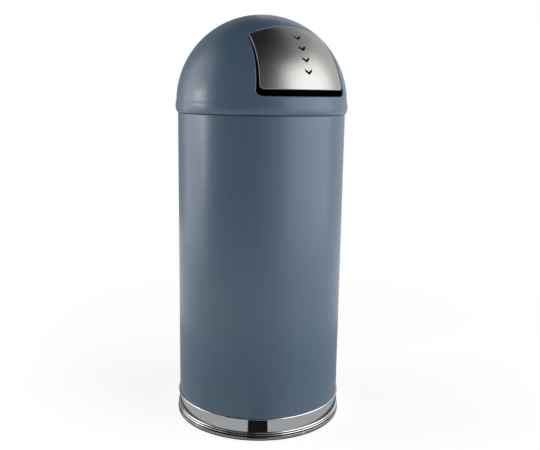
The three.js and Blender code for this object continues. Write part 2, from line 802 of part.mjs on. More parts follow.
const flap = groupIn(dome);
place(flap, "flap_panel", flapPanel(), finishes.satinSteel);
for (const [name, side] of sides) {
  place(flap, `flap_ear_${name}`, flapEar(side), finishes.zinc);
  place(flap, `flap_bush_${name}`, flapBush(side), finishes.nylon);
}

const liner = groupIn(part);
place(liner, "liner_wall", linerWallShell(), finishes.galvanised);
place(liner, "liner_bottom", linerBottom(), finishes.galvanised);
for (const [name, side] of sides) {
  place(liner, `handle_ear_${name}_front`, handleEar(side, -1), finishes.zinc);
  place(liner, `handle_ear_${name}_back`, handleEar(side, 1), finishes.zinc);
  place(groupIn(liner), `liner_handle_${name}`, dropHandle(side), finishes.zinc);
}

console.log(`least gap in a torsion spring: ${leastGap(springLine(1)).toFixed(2)} mm`);

export default part;
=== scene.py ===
"""A dome-top waste receptacle: an enamelled steel can on a chromed base ring, a lift-off dome with a sprung
steel flap, and a galvanised liner. Metres, +Z up, the floor at Z = 0, the flap facing -Y."""

import json
import math

import bpy
from mathutils import Matrix, Vector


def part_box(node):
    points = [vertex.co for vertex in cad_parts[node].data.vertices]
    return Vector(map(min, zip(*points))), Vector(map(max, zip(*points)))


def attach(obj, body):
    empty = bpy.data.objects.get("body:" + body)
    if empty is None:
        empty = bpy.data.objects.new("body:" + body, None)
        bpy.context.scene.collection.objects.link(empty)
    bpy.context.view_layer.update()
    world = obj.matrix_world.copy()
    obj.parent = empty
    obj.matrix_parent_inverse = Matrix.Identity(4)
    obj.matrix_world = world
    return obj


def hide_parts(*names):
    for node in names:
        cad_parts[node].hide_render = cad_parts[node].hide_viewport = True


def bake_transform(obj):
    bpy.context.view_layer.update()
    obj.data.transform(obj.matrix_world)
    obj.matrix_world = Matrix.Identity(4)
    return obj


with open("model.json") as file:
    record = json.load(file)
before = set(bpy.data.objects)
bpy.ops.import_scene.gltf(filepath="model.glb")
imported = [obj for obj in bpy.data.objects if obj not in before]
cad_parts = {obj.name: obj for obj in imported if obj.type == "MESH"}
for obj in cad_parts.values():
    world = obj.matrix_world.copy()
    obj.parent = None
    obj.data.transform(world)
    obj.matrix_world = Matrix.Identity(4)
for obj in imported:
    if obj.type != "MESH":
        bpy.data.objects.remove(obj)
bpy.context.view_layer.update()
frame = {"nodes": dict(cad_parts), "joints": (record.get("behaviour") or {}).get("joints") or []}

scene = bpy.context.scene
scene.view_settings.view_transform = "Standard"

# ---- Camera ----
# It stands to the left of the flap, a little above the dome's seam, and looks down at the whole's middle.

camera_side = math.radians(-32)
camera_distance = 1.6504
camera_height = 0.7597
camera_turn = math.radians(-0.804)  # to the right of the can's middle
camera_pitch = math.radians(10.675)
camera_roll = math.radians(0.871)
frame_width = 540
focal_pixels = 712
sensor_width = 36

camera = bpy.data.objects.new("camera", bpy.data.cameras.new("camera"))
scene.collection.objects.link(camera)
scene.camera = camera
camera.data.sensor_width = sensor_width
camera.data.lens = sensor_width * focal_pixels / frame_width
camera_place = Vector(
    (camera_distance * math.sin(camera_side), -camera_distance * math.cos(camera_side), camera_height)
)
camera.matrix_world = (
    Matrix.Translation(camera_place)
    @ Matrix.Rotation(camera_side + camera_turn, 4, "Z")
    @ Matrix.Rotation(math.pi / 2 - camera_pitch, 4, "X")
    @ Matrix.Rotation(camera_roll, 4, "Z")
)

# ---- Floor and surroundings ----
# A white floor that keeps the can's soft shadow and runs out to white, under a white world. Dark, grey and
# pale cards, hidden from the camera, give the enamel and the metal something to reflect.

floor_radius = 8.0
floor_albedo = 0.6
floor_lift = 0.68  # light added near the can, where the lamps leave the floor a little grey
floor_fade = (0.5, 1.5)  # from the can's middle: where the floor starts to turn into pure white, and ends
world_fill = 0.35
white = (1, 1, 1, 1)


def feed(tree, socket, value):
    """Gives a socket a plain value, or links another socket to it."""
    if isinstance(value, bpy.types.NodeSocket):
        tree.links.new(value, socket)
    else:
        socket.default_value = value


def feed_named(tree, target, **values):
    """Gives a node's sockets their values or links, by their names."""
    for name, value in values.items():
        feed(tree, target.inputs[name.replace("_", " ")], value)


def node(tree, kind, *in_order, **settings):
    """A new shader node. Named values go to that socket or setting, the others to its first sockets."""
    made = tree.nodes.new(kind)
    for name, value in settings.items():
        label = name.replace("_", " ")
        if label in made.inputs:
            feed(tree, made.inputs[label], value)
        else:
            setattr(made, name.lower(), value)
    for socket, value in zip(made.inputs, in_order):
        feed(tree, socket, value)
    return made


def arithmetic(tree, operation, first, second):
    """One sum on two numbers, each of them plain or a socket."""
    return node(tree, "ShaderNodeMath", first, second, Operation=operation).outputs[0]


def object_place(tree):
    """Where a point lies; every finished piece sits at the origin, so this is its place in the frame."""
    return node(tree, "ShaderNodeTexCoord").outputs["Object"]


def seen_as_background(tree):
    """1 for the rays that show a background: the camera's, and those off gloss or through glass."""
    path = node(tree, "ShaderNodeLightPath")
    seen = path.outputs["Is Camera Ray"]
    for other in ("Is Glossy Ray", "Is Transmission Ray"):
        seen = arithmetic(tree, "MAXIMUM", seen, path.outputs[other])
    return seen


world = bpy.data.worlds.new("studio")
scene.world = world
world.use_nodes = True
sky = world.node_tree
sky_strength = node(sky, "ShaderNodeMapRange", Value=seen_as_background(sky), To_Min=world_fill, To_Max=1.0)
feed_named(sky, sky.nodes["Background"], Color=white, Strength=sky_strength.outputs[0])


def bare_material(name):
    """A new material, its tree with nothing but the output, and the socket that its surface goes to."""
    made = bpy.data.materials.new(name)
    made.use_nodes = True
    tree = made.node_tree
    tree.nodes.remove(tree.nodes["Principled BSDF"])
    return made, tree, tree.nodes["Material Output"].inputs["Surface"]


def white_floor():
    """Matt white that keeps the shadow near the can, and turns into pure white further out."""
    made, tree, surface = bare_material("white_floor")
    seen = seen_as_background(tree)
    matt = node(tree, "ShaderNodeBsdfDiffuse", Color=(floor_albedo, floor_albedo, floor_albedo, 1))
    lift_strength = arithmetic(tree, "MULTIPLY", seen, floor_lift)
    lift = node(tree, "ShaderNodeEmission", Color=white, Strength=lift_strength)
    near = node(tree, "ShaderNodeAddShader", matt.outputs[0], lift.outputs[0])
    far = node(tree, "ShaderNodeEmission", Color=white, Strength=1.0)
    length = node(tree, "ShaderNodeVectorMath", object_place(tree), Operation="LENGTH")
    fade = node(
        tree, "ShaderNodeMapRange", Interpolation_Type="SMOOTHSTEP", Value=length.outputs["Value"],
        From_Min=floor_fade[0], From_Max=floor_fade[1],
    )
    far_share = arithmetic(tree, "MULTIPLY", fade.outputs[0], seen)
    whole = node(tree, "ShaderNodeMixShader", far_share, near.outputs[0], far.outputs[0])
    feed(tree, surface, whole.outputs[0])
    return made


def select_none():
    bpy.ops.object.select_all(action="DESELECT")


def disc(name, radius, height, sides, material):
    """A flat round piece of the studio."""
    select_none()
    bpy.ops.mesh.primitive_circle_add(
        vertices=sides, radius=radius, fill_type="NGON", location=(0, 0, height)
    )
    made = bpy.context.object
    made.name = name
    bpy.ops.object.transform_apply(location=True)
    made.data.materials.append(material)
    return made


disc("floor", floor_radius, 0, 96, white_floor())


def around_camera(azimuth, distance, height):
    """A place at an azimuth in degrees to the right of the camera, seen from the can's middle."""
    angle = camera_side + math.radians(azimuth)
    return Vector((distance * math.sin(angle), -distance * math.cos(angle), height))


def glowing(name, glow):
    """An even grey that sheds its own light, for a card."""
    made, tree, surface = bare_material(name)
    shine = node(tree, "ShaderNodeEmission", Color=(glow, glow, glow, 1), Strength=1.0)
    feed(tree, surface, shine.outputs[0])
    return made


def card(name, columns, places, glow):
    """A card that only reflections show: a strip of that many columns, its lower row of places first."""
    select_none()
    bpy.ops.mesh.primitive_grid_add(x_subdivisions=columns, y_subdivisions=1, size=1)
    made = bpy.context.object
    made.name = name
    for vertex, place in zip(made.data.vertices, places):
        vertex.co = place
    made.visible_camera = made.visible_shadow = made.visible_diffuse = False
    made.data.materials.append(glowing(name, glow))


card_radius = 2.6
card_top = 3.4
low_start = 0.05  # the tall cards end this high above the floor
card_steps = 24

for name, azimuths, heights, distance, glow in (
    ("front_card", (-80, -2), (low_start, card_top), card_radius, 0.04),
    ("front_card_low_edge", (-2, 18), (low_start, 0.9), card_radius, 0.45),
    ("front_card_high_edge", (-2, 28), (0.9, card_top), card_radius, 0.06),
    ("side_card_left", (-178, -122), (low_start, card_top), card_radius, 0.28),
    ("side_card_right", (108, 178), (low_start, card_top), card_radius, 0.8),
    ("high_card_right", (75, 160), (2.2, 3.38), 1.2, 0.5),
    ("bead_card", (-78, -38), (0.14, 0.33), 0.55, 1.0),
):
    across = [azimuths[0] + (azimuths[1] - azimuths[0]) * i / card_steps for i in range(card_steps + 1)]
    places = [around_camera(azimuth, distance, height) for height in heights for azimuth in across]
    card(name, card_steps, places, glow)

# The lid over the studio keeps the top of the dome dark.
disc("top_card", card_radius, card_top, 64, glowing("top_card", 0.01)).visible_camera = False

# Cards that lie on the floor, for the chrome: three rings round the base ring, each of its own grey, and on
# them in front a black one that shows as a single block.
ring_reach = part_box("base_ring")[1].x
ring_card_edges = (ring_reach + 0.002, ring_reach + 0.017, ring_reach + 0.03, 0.8)
ring_card_steps = 96
card_lift = 0.0008  # above the floor, and the black card as much again above the others
block_half = 0.024
block_spread = math.tan(math.radians(13))  # how much wider the black card gets to each side on its way out
block_reach = (0.008, 0.24)  # where it starts and ends, out from the base ring


def ring_row(radius):
    """Places round the can, just above the floor."""
    turns = [2 * math.pi * i / ring_card_steps for i in range(ring_card_steps + 1)]
    return [(radius * math.cos(turn), radius * math.sin(turn), card_lift) for turn in turns]


def block_row(out):
    """The black card's two corners at a distance out from the base ring, towards the camera."""
    half = block_half + out * block_spread
    corners = [Vector((x, -ring_reach - out, 2 * card_lift)) for x in (-half, half)]
    return [Matrix.Rotation(camera_side, 3, "Z") @ corner for corner in corners]


ring_cards = (("near_floor_card", 0.21), ("dark_floor_card", 0.08), ("grey_floor_card", 0.42))
for (name, glow), inner, outer in zip(ring_cards, ring_card_edges, ring_card_edges[1:]):
    card(name, ring_card_steps, [*ring_row(inner), *ring_row(outer)], glow)
near_left, near_right, far_left, far_right = [corner for out in block_reach for corner in block_row(out)]
card("black_floor_card", 1, [near_left, far_left, near_right, far_right], 0.01)

# ---- Lamps ----
# A big soft wall of light on either side of the can. On its left, a narrow strip draws the bright line down
# the enamel, and a small lamp draws the highlight on the dome.


def softbox(name, azimuth, distance, height, size, power):
    """A rectangular lamp that faces the can, at an azimuth to the right of the camera."""
    made = bpy.data.objects.new(name, bpy.data.lights.new(name, "AREA"))
    scene.collection.objects.link(made)
    made.data.shape = "RECTANGLE"
    made.data.size, made.data.size_y = size
    made.data.energy = power
    made.location = around_camera(azimuth, distance, height)
    target = Vector((0, 0, height))
    made.rotation_euler = (target - made.location).to_track_quat("-Z", "Y").to_euler()


softbox("left_wall", azimuth=-99, distance=2.3, height=1.2, size=(2.0, 2.4), power=17)
softbox("left_strip", azimuth=-79, distance=1.9, height=0.85, size=(0.3, 0.8), power=4)
softbox("left_spot", azimuth=-88, distance=1.9, height=0.95, size=(0.28, 0.28), power=3.4)
softbox("right_wall", azimuth=68, distance=2.3, height=1.5, size=(3.0, 2.9), power=46)

# ---- Can ----
# Rolled steel sheet, enamelled slate blue-grey, with its mouth curled inwards and a lap seam down the back.
# Its profile is drawn as a chain of edges and spun round; the lap is a strip laid inside.

around_steps = 224
round_bend = math.radians(32)  # edges sharper than this stay crisp
weld = 1e-6
gloss_cloud_share = 3.7  # clouds of gloss to one of tone, so that the two never line up


def arc(centre, radius, start, end, steps):
    """Points on a circle from one angle to another in degrees, as (radius, height) pairs."""
    angles = [math.radians(start + (end - start) * i / steps) for i in range(steps + 1)]
    return [(centre[0] + radius * math.cos(a), centre[1] + radius * math.sin(a)) for a in angles]


def pick(piece):
    """Selects one piece alone and makes it the active one."""
    select_none()
    piece.select_set(True)
    bpy.context.view_layer.objects.active = piece


def shade_round(piece, sharpest=round_bend):
    """Shades a piece smooth across every bend that isn't sharper than that."""
    pick(piece)
    bpy.ops.object.shade_smooth_by_angle(angle=sharpest)
    return piece


def finish_mesh(piece, sharpest=round_bend):
    """Welds the seams and poles, turns the faces outwards and shades the round bends smooth."""
    pick(piece)
    bpy.ops.object.mode_set(mode="EDIT")
    bpy.ops.mesh.select_all(action="SELECT")
    bpy.ops.mesh.remove_doubles(threshold=weld)
    bpy.ops.mesh.normals_make_consistent(inside=False)
    bpy.ops.object.mode_set(mode="OBJECT")
    return shade_round(piece, sharpest)


def spin(name, profile, steps=around_steps, sharpest=round_bend):
    """A profile of (radius, height) points, drawn as a chain of edges and spun round the Z axis.

    It starts and ends on the axis, or else its last point is joined to its first."""
    if profile[0][0] > 0:
        profile = [*profile, profile[0]]
    select_none()
    bpy.ops.mesh.primitive_plane_add(size=0.001)
    piece = bpy.context.object
    piece.name = name
    bpy.ops.object.mode_set(mode="EDIT")
    bpy.ops.mesh.select_all(action="SELECT")
    bpy.ops.mesh.merge(type="CENTER")
    bpy.ops.transform.translate(value=(profile[0][0], 0, profile[0][1]))
    for (radius, height), (next_radius, next_height) in zip(profile, profile[1:]):
        move = (next_radius - radius, 0, next_height - height)
        bpy.ops.mesh.extrude_region_move(TRANSFORM_OT_translate={"value": move})
    bpy.ops.mesh.select_all(action="SELECT")
    bpy.ops.mesh.spin(steps=steps, angle=2 * math.pi, center=(0, 0, 0), axis=(0, 0, 1))
    bpy.ops.object.mode_set(mode="OBJECT")
    return finish_mesh(piece, sharpest)


def shader_group(name, inputs, outputs):
    """A new node group with named sockets: the group, what it is given, and the node that it ends in."""
    group = bpy.data.node_groups.new(name, "ShaderNodeTree")
    for label, kind, value in inputs:
        socket = group.interface.new_socket(label, in_out="INPUT", socket_type="NodeSocket" + kind)
        socket.default_value = value
    for label, kind in outputs:
        group.interface.new_socket(label, in_out="OUTPUT", socket_type="NodeSocket" + kind)
    return group, node(group, "NodeGroupInput").outputs, node(group, "NodeGroupOutput")


def noise(tree, size, detail=3.0, coordinates=None):
    """Noise over the piece; size is a number of features to the metre, or a socket that gives it."""
    if coordinates is None:
        coordinates = object_place(tree)
    return node(tree, "ShaderNodeTexNoise", Vector=coordinates, Scale=size, Detail=detail).outputs["Fac"]


def spread_about(tree, value, middle, spread):
    """middle - spread where the value is 0.25, and middle + spread where it is 0.75."""
    return node(
        tree, "ShaderNodeMapRange", Value=value, From_Min=0.25, From_Max=0.75,
        To_Min=arithmetic(tree, "SUBTRACT", middle, spread), To_Max=arithmetic(tree, "ADD", middle, spread),
    ).outputs[0]


def height_above_floor(tree):
    return node(tree, "ShaderNodeSeparateXYZ", object_place(tree)).outputs["Z"]


# Slow clouds of tone and gloss with a fine grain: the evenness that every finish lacks a little.
clouds, given, cloud_end = shader_group(
    "cloudy_finish",
    [
        ("Color", "Color", (0.5, 0.5, 0.5, 1)),
        ("Cloud Size", "Float", 9.0),
        ("Tone Spread", "Float", 0.04),
        ("Roughness", "Float", 0.4),
        ("Roughness Spread", "Float", 0.05),
        ("Grain Size", "Float", 400.0),
    ],
    [("Color", "Color"), ("Roughness", "Float"), ("Height", "Float")],
)
tone = spread_about(clouds, noise(clouds, given["Cloud Size"]), 1.0, given["Tone Spread"])
toned = node(clouds, "ShaderNodeVectorMath", given["Color"], Operation="SCALE", Scale=tone)
gloss_size = arithmetic(clouds, "MULTIPLY", given["Cloud Size"], gloss_cloud_share)
gloss = spread_about(clouds, noise(clouds, gloss_size, 5.0), given["Roughness"], given["Roughness Spread"])
grain = noise(clouds, given["Grain Size"], 2.0)
feed_named(clouds, cloud_end, Color=toned.outputs[0], Roughness=gloss, Height=grain)

# Floor dust: a thin matt film that fades out above the floor, broken up by noise.
dust, given, dust_end = shader_group(
    "floor_dust",
    [("Reach", "Float", 0.05), ("Amount", "Float", 0.2)],
    [("Mask", "Float")],
)
settled = node(
    dust, "ShaderNodeMapRange", Interpolation_Type="SMOOTHSTEP", Value=height_above_floor(dust),
    From_Max=given["Reach"], To_Min=given["Amount"], To_Max=0.0,
)
feed_named(dust, dust_end, Mask=arithmetic(dust, "MULTIPLY", settled.outputs[0], noise(dust, 55.0, 6.0)))


def use_group(tree, group, **values):
    """A node group placed in a material, with its own values."""
    made = node(tree, "ShaderNodeGroup")
    made.node_tree = group
    feed_named(tree, made, **values)
    return made


def principled(name, **values):
    """A material, with these plain values on its Principled shader."""
    made = bpy.data.materials.new(name)
    made.use_nodes = True
    shader = made.node_tree.nodes["Principled BSDF"]
    feed_named(made.node_tree, shader, **values)
    return made, made.node_tree, shader


def bump(tree, shader, height, depth, strength):
    """Surface relief from a height socket; depth is in metres."""
    relief = node(tree, "ShaderNodeBump", Height=height, Distance=depth, Strength=strength)
    feed(tree, shader.inputs["Normal"], relief.outputs[0])


def mixed(tree, share, first, second):
    """A mix of two colours, each of them plain or a socket, by a socket's share."""
    made = node(tree, "ShaderNodeMix", Data_Type="RGBA", Factor=share)
    for socket, value in zip([s for s in made.inputs if s.type == "RGBA"], (first, second)):
        feed(tree, socket, value)
    return next(s for s in made.outputs if s.type == "RGBA")


def slate_enamel():
    """Stoved enamel: slate blue-grey, a little orange peel, and a trace of dust near the floor."""
    made, tree, shader = principled(
        "slate_enamel", Metallic=0.0, IOR=1.5, Coat_Weight=0.25, Coat_Roughness=0.2
    )
    skin = use_group(
        tree, clouds, Color=(0.088, 0.151, 0.226, 1), Cloud_Size=6.0, Tone_Spread=0.035, Roughness=0.4,
        Roughness_Spread=0.04, Grain_Size=330.0,
    )
    film = use_group(tree, dust, Reach=0.16, Amount=0.22)
    colour = mixed(tree, film.outputs["Mask"], skin.outputs["Color"], (0.36, 0.36, 0.34, 1))
    feed_named(tree, shader, Base_Color=colour, Roughness=skin.outputs["Roughness"])
    bump(tree, shader, skin.outputs["Height"], depth=0.00006, strength=0.5)
    return made


enamel = slate_enamel()
sheet = 0.001
can_low, can_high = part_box("can_shell")
can_radius = can_high.x
curl_radius = 0.0028
curl_tail = 0.0034
curl_height = can_high.z - curl_radius
curl_middle = can_radius - curl_radius
curl_inside = can_radius - 2 * curl_radius
lap_half = 0.007
lap_depth = 0.0016
lap_margin = 0.014
lap_sunk = 0.0004  # how far the lap's strip reaches into the sheet
lap_edge = 0.0005

can_profile = [
    (can_radius - sheet, can_low.z),
    (can_radius, can_low.z),
    *arc((curl_middle, curl_height), curl_radius, 0, 180, 14),
    (curl_inside, curl_height - curl_tail),
    (curl_inside + sheet, curl_height - curl_tail),
    *arc((curl_middle, curl_height), curl_radius - sheet, 180, 0, 12),
]


def dress(piece, material, body, slot, *nodes):
    """Gives a finished piece its material and its body, and hides the nodes that it stands for; the slot is
    not used.
    """
    piece.data.materials.clear()
    piece.data.materials.append(material)
    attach(piece, body)
    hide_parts(*nodes)


def join(first, *others):
    """One piece made of several."""
    pick(first)
    for piece in others:
        piece.select_set(True)
    bpy.ops.object.join()
    return first


def modify(piece, kind, **settings):
    """Adds a modifier and applies it."""
    pick(piece)
    modifier = piece.modifiers.new(kind.lower(), kind)
    for name, value in settings.items():
        setattr(modifier, name, value)
    bpy.ops.object.modifier_apply(modifier=modifier.name)
    return piece


def strip(name, low, high, edge):
    """A rectangular strip between two corners, with its edges eased."""
    select_none()
    bpy.ops.mesh.primitive_cube_add(size=1)
    piece = bpy.context.object
    piece.name = name
    size = Vector(high) - Vector(low)
    piece.data.transform(Matrix.Translation((Vector(low) + Vector(high)) / 2) @ Matrix.Diagonal((*size, 1)))
    return modify(piece, "BEVEL", width=edge, segments=2)


can_body = spin("can_body", can_profile)
lap = strip(
    "lap",
    (-lap_half, can_radius - sheet - lap_depth, can_low.z + lap_margin),
    (lap_half, can_radius - sheet + lap_sunk, curl_height - curl_tail - lap_margin),
    lap_edge,
)
dress(join(can_body, lap), enamel, "can", "slate_paint", "can_shell")

# ---- Bottom pan ----
# A dished steel disc, enamelled, pressed up into the foot of the can with its edge turned down.

pan_low, pan_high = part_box("bottom_pan")
pan_edge = pan_high.x
pan_dish = 0.003
pan_floor = pan_high.z - pan_dish
pan_dish_radius = 0.146
pan_slope = 0.004
pan_ease = 0.0004  # where the slope bends into the dish and into the rim
pan_bend = 0.003
pan_corner = (pan_edge - pan_bend, pan_high.z - pan_bend)
pan_profile = [
    (0, pan_floor),
    (pan_dish_radius - pan_slope, pan_floor),
    (pan_dish_radius, pan_floor + pan_ease),
    (pan_dish_radius + pan_slope, pan_high.z - pan_ease),
    (pan_dish_radius + 2 * pan_slope, pan_high.z),
    *arc(pan_corner, pan_bend, 90, 0, 6),
    (pan_edge, pan_low.z),
    (pan_edge - sheet, pan_low.z),
    *arc(pan_corner, pan_bend - sheet, 0, 90, 5),
    (pan_dish_radius + 2 * pan_slope, pan_high.z - sheet),
    (pan_dish_radius, pan_floor - sheet + pan_ease),
    (pan_dish_radius - pan_slope, pan_floor - sheet),
    (0, pan_floor - sheet),
]
dress(spin("foot_pan", pan_profile), enamel, "can", "slate_paint", "bottom_pan")

# ---- Base ring ----
# Pressed steel, chromed: a flange for the floor ring, two low beads, a plain face and a top bead. It is
# spun from its profile, with every bead as a half ellipse.

ring_low, ring_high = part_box("base_ring")
ring_wall = 0.0012
ring_inside = 0.1903
ring_face = ring_inside + ring_wall
ring_ease = 0.0004
flange_inside = ring_reach - ring_wall
flange_shoulder = 0.0007
flange_top = 0.008
foot_ledge = 0.0086
beads = (  # (height, half, reach)
    (0.0117, 0.0019, 0.0027),
    (0.0165, 0.0019, 0.0024),
    (0.0483, 0.0017, 0.0019),
)
bead_steps = 12


def bead_line(height, half, reach):
    """A bead's outline, from its lower end to its upper end."""
    angles = [math.radians(-90 + 180 * i / bead_steps) for i in range(bead_steps + 1)]
    return [(ring_face + reach * math.cos(a), height + half * math.sin(a)) for a in angles]


ring_profile = [
    (flange_inside, ring_low.z),
    (ring_reach, ring_low.z),
    *arc((ring_reach - flange_shoulder, flange_top - flange_shoulder), flange_shoulder, 0, 90, 6),
    *[point for bead in beads for point in bead_line(*bead)],
    (ring_inside + ring_ease, ring_high.z),
    (ring_inside, ring_high.z - ring_ease),
    (ring_inside, foot_ledge + ring_wall),
    (flange_inside, foot_ledge),
]

# Painted shade: the chrome is darkened in the grooves beside the low beads, as (height, how much of it there
# is).
groove_shade = (
    (0.0074, 0), (0.0084, 1), (0.0105, 1), (0.0116, 0), (0.0133, 0), (0.0138, 1), (0.0155, 1), (0.0164, 0),
    (0.0183, 0), (0.0188, 0.7), (0.0200, 0),
)
groove_shade_top = 0.025  # the ramp that holds them runs from the floor up to here


def painted_groove_shade(tree):
    """A mask of painted shade in the grooves, from the height above the floor."""
    share = node(tree, "ShaderNodeMapRange", Value=height_above_floor(tree), From_Max=groove_shade_top)
    ramp = node(tree, "ShaderNodeValToRGB", share.outputs[0])
    stops = ramp.color_ramp.elements
    for spare in list(stops)[1:]:
        stops.remove(spare)
    for index, (level, amount) in enumerate(groove_shade):
        stop = stops[0] if index == 0 else stops.new(1.0)
        stop.position = level / groove_shade_top
        stop.color = (amount, amount, amount, 1)
    return ramp.outputs[0]


def bright_chrome():
    """Chrome plate: almost a mirror, with a slight haze, painted shade darkening its grooves and a little
    dust.
    """
    made, tree, shader = principled("bright_chrome", Metallic=1.0, IOR=1.5)
    skin = use_group(
        tree, clouds, Color=(0.76, 0.77, 0.79, 1), Cloud_Size=14.0, Tone_Spread=0.02, Roughness=0.075,
        Roughness_Spread=0.025, Grain_Size=120.0,
    )
    film = use_group(tree, dust, Reach=0.03, Amount=0.16)
    dusty = mixed(tree, film.outputs["Mask"], skin.outputs["Color"], (0.4, 0.4, 0.39, 1))
    # Painted shade: the grooves beside the low beads are mixed towards near black.
    colour = mixed(tree, painted_groove_shade(tree), dusty, (0.07, 0.07, 0.072, 1))
    haze = arithmetic(tree, "ADD", skin.outputs["Roughness"], film.outputs["Mask"])
    feed_named(tree, shader, Base_Color=colour, Roughness=haze)
    bump(tree, shader, skin.outputs["Height"], depth=0.00001, strength=0.2)
    return made


chrome = bright_chrome()
chrome_ring = spin("chrome_ring", ring_profile, sharpest=math.radians(24))
dress(chrome_ring, chrome, "can", "chrome", "base_ring")

# ---- Base rivets ----
# Four chromed pop rivets that hold the floor ring's plug, at the front, the back and the sides. Each is
# spun as a low dome on a shank, laid on its side and turned to its place.

rivet_count = 4
rivet_seat = ring_reach + 0.0001
rivet_end = 0.1874
rivet_radius = 0.0022
rivet_shank = 0.0013
rivet_height = 0.0053
rivet_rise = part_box("base_rivet_1")[1].x - rivet_seat
rivet_crown = [math.radians(18 * i) for i in range(5)]
rivet_profile = [
    (0, rivet_end),
    (rivet_shank, rivet_end),
    (rivet_shank, rivet_seat),
    *[(rivet_radius * math.cos(a), rivet_seat + rivet_rise * math.sin(a)) for a in rivet_crown],
    (0, rivet_seat + rivet_rise),
]
for index in range(rivet_count):
    rivet = spin(f"foot_rivet_{index + 1}", rivet_profile, steps=24)
    rivet.data.transform(
        Matrix.Rotation(2 * math.pi * index / rivet_count, 4, "Z")
        @ Matrix.Translation((0, 0, rivet_height))
        @ Matrix.Rotation(math.pi / 2, 4, "Y")
    )
    dress(rivet, chrome, "can", "chrome", f"base_rivet_{index + 1}")

# ---- Floor ring ----
# Black vinyl, plugged up into the chrome flange so that the steel never scrapes the floor. Spun.


def moulded(name, colour, roughness, grain, depth):
    """A moulded plastic or rubber: even colour, fine leathery grain, dull patches."""
    made, tree, shader = principled(name, Metallic=0.0, IOR=1.5)
    skin = use_group(
        tree, clouds, Color=(*colour, 1), Cloud_Size=25.0, Tone_Spread=0.12, Roughness=roughness,
        Roughness_Spread=0.07, Grain_Size=grain,
    )
    film = use_group(tree, dust, Reach=0.006, Amount=0.3)
    dusty = mixed(tree, film.outputs["Mask"], skin.outputs["Color"], (0.3, 0.29, 0.27, 1))
    feed_named(tree, shader, Base_Color=dusty, Roughness=skin.outputs["Roughness"])
    bump(tree, shader, skin.outputs["Height"], depth, strength=0.6)
    return made


vinyl = moulded("black_vinyl_mould", (0.016, 0.016, 0.018), roughness=0.55, grain=900.0, depth=0.0001)
pad_low, pad_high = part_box("floor_ring")
pad_thickness = 0.0022
pad_inner = 0.1845
pad_edge = 0.0005
plug_inner = rivet_end
seat_gap = 0.0003  # between pieces that seat on each other
plug_outer = flange_inside - seat_gap
pad_profile = [
    (pad_inner, pad_edge),
    (pad_inner + pad_edge, pad_low.z),
    (pad_high.x - pad_edge, pad_low.z),
    (pad_high.x, pad_edge),
    (pad_high.x, pad_thickness),
    (plug_outer, pad_thickness),
    (plug_outer, pad_high.z),
    (plug_inner, pad_high.z),
    (plug_inner, pad_thickness),
    (pad_inner, pad_thickness),
]
vinyl_foot = spin("vinyl_foot", pad_profile, sharpest=math.radians(20))
dress(vinyl_foot, vinyl, "can", "black_vinyl", "floor_ring")

# ---- Dome shell ----
# Spun from one steel disc, enamelled: a hemisphere with a full skirt that rolls under to the seam, and an
# opening for the flap with its edges turned in. The sheet is laid in rings from the opening out to the
# skirt, and then thickened.

dome_low, dome_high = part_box("dome_shell")
dome_radius = 0.1935
dome_middle = dome_high.z - dome_radius
dome_centre = Vector((0, 0, dome_middle))
dome_rows = 60
seam_height = dome_low.z
skirt_reach = dome_high.x
skirt_rise = 0.017
skirt_height = seam_height + skirt_rise
skirt_start = math.radians(2.4)  # latitude where the skirt leaves the hemisphere
skirt_steps = 6
lip_width = 0.006
lip_outer = can_radius + seat_gap
lip_inner = lip_outer - lip_width
lip_steps = 12

door_top = math.radians(56.4)
door_sill = 0.0305  # above the hemisphere's middle
door_half_top = 0.092
door_half_bottom = 0.1045
door_corner_top = 0.0045
door_corner_bottom = 0.009
corner_steps = 8
sill_steps = 15
side_steps = 26
head_steps = 36
edge_steps = 6
opening_gaps = dict(top=0.0016, bottom=0.0135, side_top=0.0015, side_bottom=0.0075, corner=0.00375)
opening_flange = 0.006
opening_bend = 0.0032
opening_pole = math.radians(31)  # the sheet's rings spread from a point this high up the front


def door_outline(grow, top=0.0, bottom=0.0, side_top=0.0, side_bottom=0.0, corner=0.0):
    """The door's outline, wider by gaps and by grow, as (x, angle about the dome's X axis) pairs."""
    top_angle = door_top + (top + grow) / dome_radius
    rise = door_sill - bottom - grow
    length = dome_radius * (top_angle - math.asin(rise / dome_radius))
    half_top, half_bottom = door_half_top + side_top + grow, door_half_bottom + side_bottom + grow
    corner_top, corner_bottom = door_corner_top + corner + grow, door_corner_bottom + corner + grow

    def half(height):
        return half_bottom + (half_top - half_bottom) * height / length

    high_centre = length - corner_top
    low = arc((half(corner_bottom) - corner_bottom, corner_bottom), corner_bottom, -90, 0, corner_steps)
    high = arc((half(high_centre) - corner_top, high_centre), corner_top, 0, 90, corner_steps)
    (start_x, start), (end_x, end) = low[-1], high[0]
    sill = [(low[0][0] * i / sill_steps, 0) for i in range(sill_steps)]
    climbs = [i / side_steps for i in range(1, side_steps)]
    side = [(start_x + (end_x - start_x) * climb, start + (end - start) * climb) for climb in climbs]
    head = [(high[-1][0] * (1 - i / head_steps), length) for i in range(1, head_steps + 1)]
    right = [*sill, *low, *side, *high, *head]
    left = [(-x, height) for x, height in reversed(right[1:-1])]
    outline = []
    for x, height in [*right, *left]:
        base = math.asin(rise / math.sqrt(dome_radius**2 - x**2))
        outline.append((x, base + (top_angle - base) * height / length))
    return outline


def on_dome(x, angle, radius):
    """A point of a door outline, on a ball of that radius about the dome's middle."""
    reach = math.sqrt(radius**2 - x**2)
    return Vector((x, -reach * math.cos(angle), dome_middle + reach * math.sin(angle)))


def door_ring(grow, radius, **gaps):
    return [on_dome(x, angle, radius) for x, angle in door_outline(grow, **gaps)]


